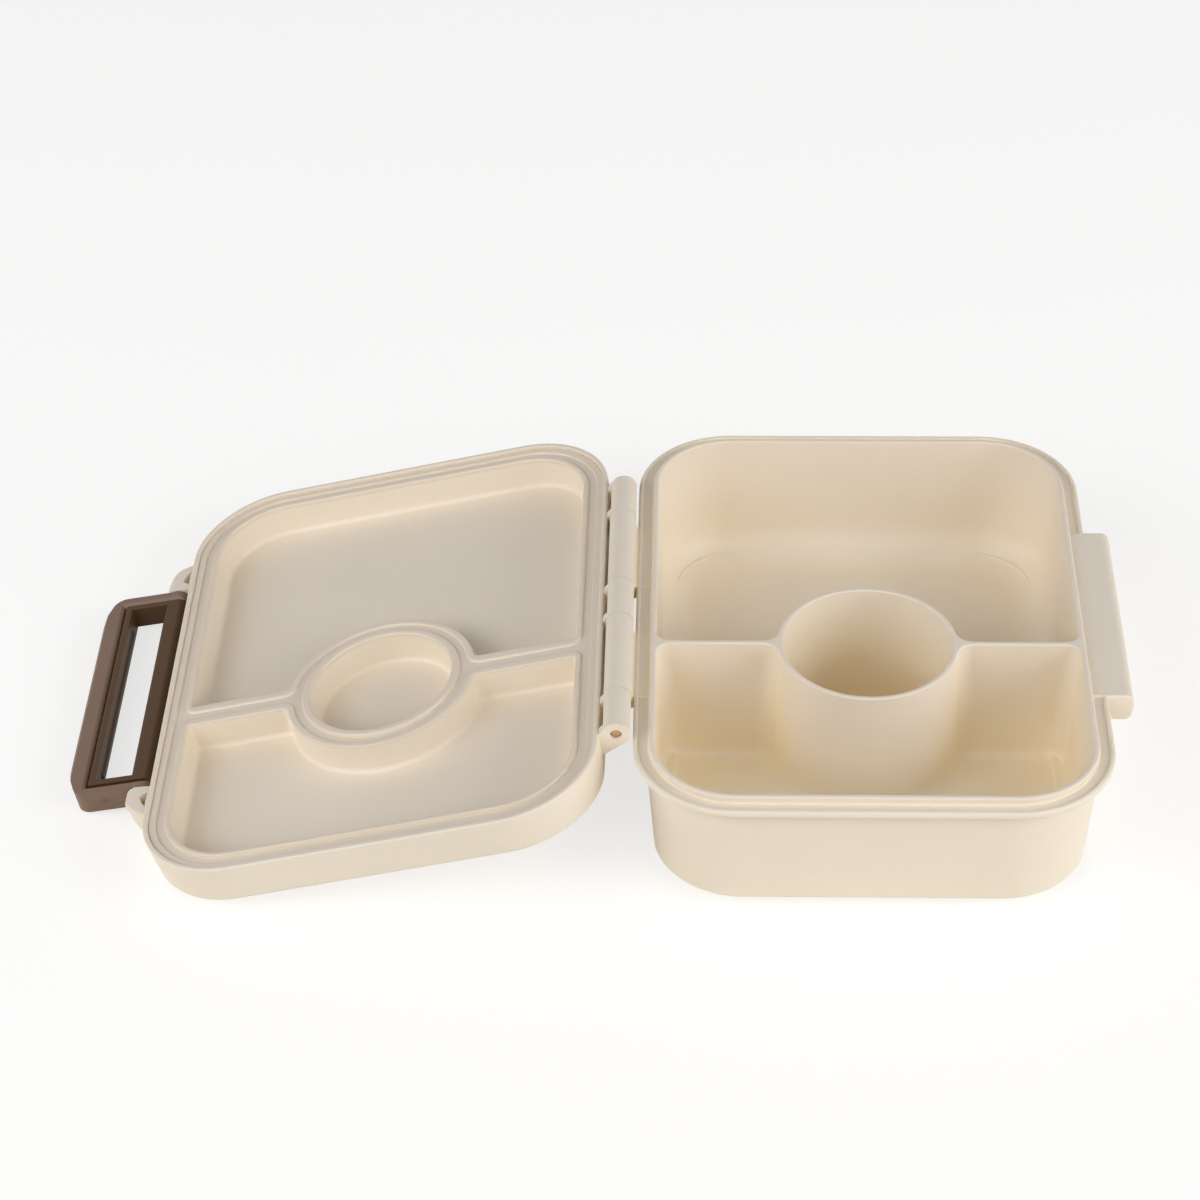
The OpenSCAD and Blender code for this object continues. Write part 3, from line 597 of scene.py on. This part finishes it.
def build_ear(side):
    """The ear that holds one end of the latch pin: a lug that swells towards the lid, with a small scoop."""
    near, far = EAR_IN, -PIVOT_OUT - 20

    def span(a, b):
        return (a, b) if side > 0 else (-b, -a)

    def upright(points, lo, hi, name):
        return prism([(x, side * y) for x, y in points], "z", lo, hi).placed(name, ON_LID)

    body = [(1 - LID_SIDE, LID_TOP - 0.6)]
    body += arc(-PIVOT_OUT, PIVOT_W, EAR_R, 90, 200, 16) + [(1 - LID_SIDE, PIVOT_W - 6)]
    ear = prism(body, "y", *span(near, near + EAR_ROOT)).placed("ear", ON_LID)
    end, blunt = -PIVOT_OUT - EAR_R, near + EAR_TIP - EAR_CHAMFER
    tip, root = (end + EAR_CHAMFER, near + EAR_TIP), (-LID_SIDE, near + EAR_ROOT)
    plan = [(1.2 - LID_SIDE, near), (far, near), (far, blunt), (end, blunt)]
    # from tip to root, part of the way between a straight line and a quarter of an oval
    steps = 8
    for k in range(steps + 1):
        s = math.radians(90 * k / steps)
        oval = (mix(root[0], tip[0], math.cos(s)), mix(tip[1], root[1], math.sin(s)))
        line = (mix(tip[0], root[0], k / steps), mix(tip[1], root[1], k / steps))
        plan.append(tuple(mix(a, b, EAR_BULGE) for a, b in zip(line, oval)))
    plan.append((1.2 - LID_SIDE, near + EAR_ROOT))
    combine(ear, [upright(plan, -40, 40, "plan")], "INTERSECT")
    hole = rod(-PIVOT_OUT, PIVOT_W, EAR_HOLE_R, *span(near - 1, near + EAR_HOLE_D), 32)
    scoop = upright([(x - LID_SIDE, near + y) for x, y in EAR_SCOOP], PIVOT_W + SCOOP_FLOOR, 20, "scoop")
    combine(ear, [hole.placed("hole", ON_LID), scoop], "DIFFERENCE")
    return soften(ear, SMALL_ROUND, 2, 45)


def build_lid():
    shell = Shell()
    rings = rounding(LID_LOW, LID_FACE, -1, 1, 1.5, -90, 0, 8)
    rings += rounding(LID_EDGE, LID_TOP, -1, -1, 0.5, 0, 90, 6)
    rings += rounding(BAND_OUT, LID_TOP, 1, -1, 0.25, 90, 180, 3) + [(BAND_OUT, LEDGE)]
    face, ledge = shell.loft([rounded(CORE, t, z) for t, z in rings])
    shell.flat(face)
    holes = []
    for side in (1, -1):
        pocket = Pocket(side, BAND_IN, STRIP_HALF, RING_OUT, LID_END_R, LID_WEB_R)
        holes.append(shell.pit(pocket.hollow(
            LEDGE, PANEL, LEDGE_ROUND, (LID_DRAFT, CUP_DRAFT), (PANEL_ROUND,) * 3,
            (LID_END_LOW, LID_WEB_LOW))))
    holes.append(shell.pit(cup_hollow(RING_IN, LEDGE, PANEL, LEDGE_ROUND, CUP_DRAFT, PANEL_ROUND)))
    shell.flat(ledge, holes)
    lid = shell.placed("lid_body", ON_LID)
    knuckles = [build_lid_knuckle(*span) for span in LID_KNUCKLES]
    combine(lid, knuckles + [build_ear(side) for side in (1, -1)], "UNION")
    bore = rod(LID_SPAN, 0, BORE_R, -BORE_HALF, BORE_HALF).placed("bore", ON_LID)
    return combine(lid, [bore], "DIFFERENCE")


def build_seal():
    """One silicone moulding: an outer ridge, a channel, and a lip round each hollow of the lid."""
    shell = Shell()
    # the ridge's section: radius about the corner centres, and height
    ridge = [(21.05, SEAT), (21.1, 0.32)] + arc(21.4, 0.35, 0.25, 180, 90, 3)
    ridge += arc(22.85, 0.32, 0.28, 90, 0, 4) + [(BAND_OUT - 0.02, SHELF)]
    channel, under = shell.loft([rounded(CORE, t, z) for t, z in ridge])
    floors, bases = [], []

    def add_lip(rings):
        first, last = shell.loft(rings)
        floors.append(first)
        bases.append(last)

    seat = (SEAT_BAND, SEAT_HALF, SEAT_CUP_OUT, SEAT_END_R, SEAT_WEB_R)
    edge = (BAND_IN, STRIP_HALF, RING_OUT, LID_END_R, LID_WEB_R)

    def level(pocket, a, rise, base=None):
        def place(seg, tau):
            crest = between(seg, tau, CREST_RUN, *CRESTS)
            z = SEAT + (crest - SEAT) * rise if base is None else base
            return z, 0, [mix(p, q, a) for p, q in zip(seat, edge)]
        return pocket.ring(place)

    for side in (1, -1):
        pocket = Pocket(side, *edge)
        add_lip([level(pocket, *step) for step in LIP_STEPS] + [level(pocket, 1, 0, SHELF)])
    rings = [circle(mix(SEAT_CUP_IN, RING_IN, a), SEAT + (RING_CREST - SEAT) * rise) for a, rise in LIP_STEPS]
    add_lip(rings + [circle(RING_IN, SHELF)])
    shell.flat(channel, floors)
    shell.flat(under, bases)
    return shell.placed("seal_ring", ON_LID)


# ---------------------------------------------------------------- handle

ON_LATCH = (Matrix.Translation(ON_LID @ Vector((-PIVOT_OUT, 0, PIVOT_W)))
            @ Matrix.Rotation(math.radians(-LATCH_TILT), 4, "Y"))


def handle_plan():
    """The handle seen from above, its grip's corners rounded; it leaves the arms' ends as they are."""
    out, slant, turn = HANDLE_OUT, GRIP_BEVEL / 3 - GRIP_FAR, HANDLE_OUT - GRIP_BEVEL
    half = [(BOSS_R + 1, out + 1, 0), (-ARM_END, out + 1, 0), (-ARM_END, out, 0), (slant, out, GRIP_CORNER_R),
            (-GRIP_FAR, turn, GRIP_SIDE_R)]
    return filleted([(x, -y, r) for x, y, r in half[:1]] + half + [(x, -y, r) for x, y, r in half[:0:-1]])


def build_handle():
    """The carry handle with rounded corners, and the mark of the mould's gate on its near end."""
    h, bevel = LATCH_T / 2, GRIP_INNER_BEVEL
    handle = prism([
        (0, -h), (0, h), (GRIP_OUTER_BEVEL - GRIP_FAR, h), (-GRIP_FAR, h - GRIP_OUTER_BEVEL),
        (-GRIP_FAR, 1.5 * GRIP_OUTER_BEVEL - h), (1.5 * GRIP_OUTER_BEVEL - GRIP_FAR, -h)],
        "y", -HANDLE_OUT, HANDLE_OUT).placed("handle_bar", ON_LATCH)
    combine(handle, [rod(0, 0, BOSS_R, -HANDLE_OUT, HANDLE_OUT).placed("boss", ON_LATCH)], "UNION")
    combine(handle, [prism(handle_plan(), "z", -h - 1, h + 1).placed("plan", ON_LATCH)], "INTERSECT")
    window = Shell()
    levels = ((GRIP_NEAR, HANDLE_IN, -h - 1), (GRIP_NEAR, HANDLE_IN, h - bevel),
              (GRIP_NEAR + bevel + 1, HANDLE_IN + bevel + 1, h + 1))
    end = BOSS_R + 2
    low, high = window.loft([[(-x, -y, z), (end, -y, z), (end, y, z), (-x, y, z)] for x, y, z in levels])
    window.faces += [tuple(low), tuple(high)]
    bore = rod(0, 0, LATCH_BORE_R, -HANDLE_OUT - 1, HANDLE_OUT + 1)
    combine(handle, [window.placed("window", ON_LATCH), bore.placed("bore", ON_LATCH)], "DIFFERENCE")
    soften(handle, HANDLE_ROUND, 3, 28)
    dent = rod(*GATE_AT, GATE_R, -HANDLE_OUT - 1, GATE_D - HANDLE_OUT, 24)
    combine(handle, [dent.placed("dent", ON_LATCH)], "DIFFERENCE")
    nub = rod(*GATE_AT, NUB_R, NUB_D - HANDLE_OUT, 0.5 - HANDLE_OUT, 16)
    return combine(handle, [nub.placed("nub", ON_LATCH)], "UNION")


# ---------------------------------------------------------------- materials

def srgb(r, g, b):
    """A linear colour from 0-255 sRGB values."""
    def lin(c):
        c /= 255
        return c / 12.92 if c <= 0.04045 else ((c + 0.055) / 1.055) ** 2.4
    return (lin(r), lin(g), lin(b), 1)


def scaled(colour, factor):
    return tuple(min(1, c * factor) for c in colour[:3]) + (1,)


def node_material(name):
    """A material with an empty output; returns it, its nodes, links and the output's surface."""
    mat = bpy.data.materials.new(name)
    mat.use_nodes = True
    nodes = mat.node_tree.nodes
    nodes.clear()
    return mat, nodes, mat.node_tree.links, nodes.new("ShaderNodeOutputMaterial").inputs["Surface"]


def noise(nodes, links, scale, coords=None):
    """A noise node; it lies in the given coordinates, or in the surface's own."""
    cloud = nodes.new("ShaderNodeTexNoise")
    cloud.inputs["Scale"].default_value = scale
    if coords:
        links.new(coords, cloud.inputs["Vector"])
    return cloud


def uneven(nodes, links, cloud, dark, light, start=0.0, end=1.0):
    """A colour that wavers with a noise between dark and light."""
    ramp = nodes.new("ShaderNodeValToRGB")
    lo, hi = ramp.color_ramp.elements
    lo.position, hi.position = start, end
    lo.color, hi.color = dark, light
    links.new(cloud.outputs["Fac"], ramp.inputs["Fac"])
    return ramp.outputs["Color"]


def painted_bounce_light(nodes, links, colour, deep):
    """Painted bounce light: a colour that turns to deep, a brighter and warmer colour, where the surface is
    shut in by its own walls.
    """
    shut_in = nodes.new("ShaderNodeAmbientOcclusion")
    shut_in.only_local = True
    shut_in.samples = 6
    shut_in.inputs["Distance"].default_value = BOUNCE_PAINT_REACH
    share = nodes.new("ShaderNodeMapRange")
    share.inputs["From Min"].default_value = BOUNCE_PAINT_FROM
    share.inputs["From Max"].default_value = BOUNCE_PAINT_TO
    tint = nodes.new("ShaderNodeMixRGB")
    tint.inputs["Color1"].default_value = deep
    links.new(shut_in.outputs["AO"], share.inputs["Value"])
    links.new(share.outputs["Result"], tint.inputs["Fac"])
    links.new(colour, tint.inputs["Color2"])
    return tint.outputs["Color"]


def plastic(name, colour, roughness, mottling, specular=0.5, subsurface=0.0, radius=(1, 0.6, 0.35),
            scale=0.002, deep=None):
    """Moulded plastic: a slightly uneven colour and a fine satin skin; where deep is given, hollows take that
    colour as painted bounce light.
    """
    mat, nodes, links, surface = node_material(name)
    skin = nodes.new("ShaderNodeBsdfPrincipled")
    links.new(skin.outputs["BSDF"], surface)
    coords = nodes.new("ShaderNodeTexCoord").outputs["Object"]
    cloud = noise(nodes, links, MOTTLE_SCALE, coords)
    dark, light = scaled(colour, 1 - mottling), scaled(colour, 1 + mottling)
    base = uneven(nodes, links, cloud, dark, light, start=0.3, end=0.7)
    # deep paints bounce light into the hollows: a brighter, warmer colour where walls shut the surface in
    if deep:
        base = painted_bounce_light(nodes, links, base, deep)
    skin.inputs["Base Color"].default_value = colour
    links.new(base, skin.inputs["Base Color"])
    grain = noise(nodes, links, GRAIN_SCALE, coords)
    grain.inputs["Detail"].default_value = 3
    bumps = nodes.new("ShaderNodeBump")
    bumps.inputs["Strength"].default_value = GRAIN_STRENGTH
    bumps.inputs["Distance"].default_value = GRAIN_DEPTH
    links.new(grain.outputs["Fac"], bumps.inputs["Height"])
    links.new(bumps.outputs["Normal"], skin.inputs["Normal"])
    skin.inputs["Roughness"].default_value = roughness
    skin.inputs["IOR"].default_value = PLASTIC_IOR
    skin.inputs["Specular IOR Level"].default_value = specular
    skin.inputs["Subsurface Weight"].default_value = subsurface
    skin.inputs["Subsurface Radius"].default_value = radius
    skin.inputs["Subsurface Scale"].default_value = scale
    return mat


def metal(name, colour, roughness):
    """Drawn metal with faint uneven patches."""
    mat, nodes, links, surface = node_material(name)
    skin = nodes.new("ShaderNodeBsdfPrincipled")
    links.new(skin.outputs["BSDF"], surface)
    patches = noise(nodes, links, METAL_SCALE, nodes.new("ShaderNodeTexCoord").outputs["Object"])
    links.new(uneven(nodes, links, patches, scaled(colour, 0.9), colour), skin.inputs["Base Color"])
    skin.inputs["Metallic"].default_value = 1
    skin.inputs["Roughness"].default_value = roughness
    return mat


CREAM_COLOUR = srgb(246, 233, 207)
CREAM_GLOW = {"subsurface": 0.15, "radius": (1, 0.75, 0.55), "scale": 0.0008}
LID_CREAM = plastic("cream_plastic", CREAM_COLOUR, 0.5, 0.012, **CREAM_GLOW)
# the tray's cream, with painted bounce light: its hollows take the brighter, warmer deep colour
TRAY_CREAM_PAINTED_BOUNCE = plastic("tray_cream_painted_bounce", CREAM_COLOUR, 0.5, 0.012, deep=srgb(255, 237, 196), **CREAM_GLOW)
SEAL = plastic("clear_silicone", srgb(240, 225, 198), 0.36, 0.015,
               subsurface=0.2, radius=(1, 0.9, 0.8), scale=0.0005)
BROWN = plastic("brown_plastic", srgb(132, 106, 84), 0.48, 0.04, specular=0.4)
# the latch frame's brown is darker than the handle's partly as painted shade, for where the frame sits low
# beneath the handle
DARK_BROWN = plastic("dark_brown_plastic", srgb(82, 57, 30), 0.5, 0.04, specular=0.25)
# the pins' metal: its warm tan colour is painted reflection and painted shade, standing in for the cream walls
# and shade of the recesses the pin ends sit in; the faint patches are the metal's own
STEEL = metal("steel", srgb(196, 168, 130), 0.5)


def round_node(name, mat):
    """Rounds the edges of a carried-over CAD solid and gives it its material."""
    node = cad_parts[name]
    node.modifiers.new("weld", "WELD").merge_threshold = 1e-6
    add_bevel(node, CAD_ROUND, 3, 25)
    node.modifiers.new("weights", "WEIGHTED_NORMAL").keep_sharp = True
    materials = node.data.materials
    if not materials:
        materials.append(mat)
    for i in range(len(materials)):
        materials[i] = mat


# ---------------------------------------------------------------- studio

def light_paths(nodes, links):
    """1 for rays that the camera sees by, straight or by way of metal or glass, and 0 for others."""
    path = nodes.new("ShaderNodeLightPath")
    total = path.outputs["Is Camera Ray"]
    for name in ("Is Glossy Ray", "Is Transmission Ray"):
        either = nodes.new("ShaderNodeMath")
        either.operation = "MAXIMUM"
        links.new(total, either.inputs[0])
        links.new(path.outputs[name], either.inputs[1])
        total = either.outputs[0]
    return total


def blend_of(nodes, links, share, unseen, seen):
    """A blend of two shaders: unseen where share is 0, and seen where it is 1."""
    blend = nodes.new("ShaderNodeMixShader")
    links.new(share, blend.inputs["Fac"])
    links.new(unseen.outputs[0], blend.inputs[1])
    links.new(seen.outputs[0], blend.inputs[2])
    return blend.outputs[0]


def add_world():
    """Soft light from all round, which the camera sees as plain white."""
    world = bpy.data.worlds.new("studio")
    bpy.context.scene.world = world
    world.use_nodes = True
    nodes, links = world.node_tree.nodes, world.node_tree.links
    nodes.clear()
    out = nodes.new("ShaderNodeOutputWorld")
    dim, white = nodes.new("ShaderNodeBackground"), nodes.new("ShaderNodeBackground")
    dim.inputs["Color"].default_value = DAYLIGHT + (1,)
    dim.inputs["Strength"].default_value = WORLD_LIGHT
    white.inputs["Color"].default_value = (1, 1, 1, 1)
    white.inputs["Strength"].default_value = 1
    links.new(blend_of(nodes, links, light_paths(nodes, links), dim, white), out.inputs["Surface"])


def add_lamp(name, at, power):
    data = bpy.data.lights.new(name, "AREA")
    data.shape = "SQUARE"
    data.size = LAMP_SIZE
    data.energy = power
    data.color = DAYLIGHT
    lamp = add_object(name, data)
    lamp.location = at
    lamp.rotation_euler = (Vector(LAMP_AIM) - Vector(at)).to_track_quat("-Z", "Y").to_euler()


def add_floor():
    """A pale floor that keeps the object's shadow."""
    h = FLOOR_HALF
    mesh = bpy.data.meshes.new("floor")
    mesh.from_pydata([(-h, -h, 0), (h, -h, 0), (h, h, 0), (-h, h, 0)], [], [(0, 1, 2, 3)])
    floor = add_object("floor", mesh)
    floor.location.z = -FLOOR_DROP
    mat, nodes, links, surface = node_material("floor")
    paint, glow = nodes.new("ShaderNodeBsdfDiffuse"), nodes.new("ShaderNodeEmission")
    tone = uneven(nodes, links, noise(nodes, links, FLOOR_SCALE), FLOOR_DARK, FLOOR_LIGHT)
    links.new(tone, paint.inputs["Color"])
    glow.inputs["Strength"].default_value = FLOOR_GLOW
    share = nodes.new("ShaderNodeMath")
    share.operation = "MULTIPLY"
    share.inputs[1].default_value = GLOW_SHARE
    links.new(light_paths(nodes, links), share.inputs[0])
    links.new(blend_of(nodes, links, share.outputs[0], paint, glow), surface)
    mesh.materials.append(mat)


add_camera()
add_world()
add_floor()
for lamp_name, (place, watts) in LAMPS.items():
    add_lamp(lamp_name, place, watts)
round_node("hinge_pin", STEEL)
round_node("latch_frame", DARK_BROWN)
round_node("latch_pin", STEEL)
dress(build_tray(), TRAY_CREAM_PAINTED_BOUNCE, "box", ["base_box"])
dress(build_lid(), LID_CREAM, "lid", ["lid_shell"])
dress(build_seal(), SEAL, "lid", ["lid_gasket"], sharp=50)
dress(build_handle(), BROWN, "handle", ["carry_handle"], sharp=28)

bpy.context.scene.view_settings.view_transform = "Standard"
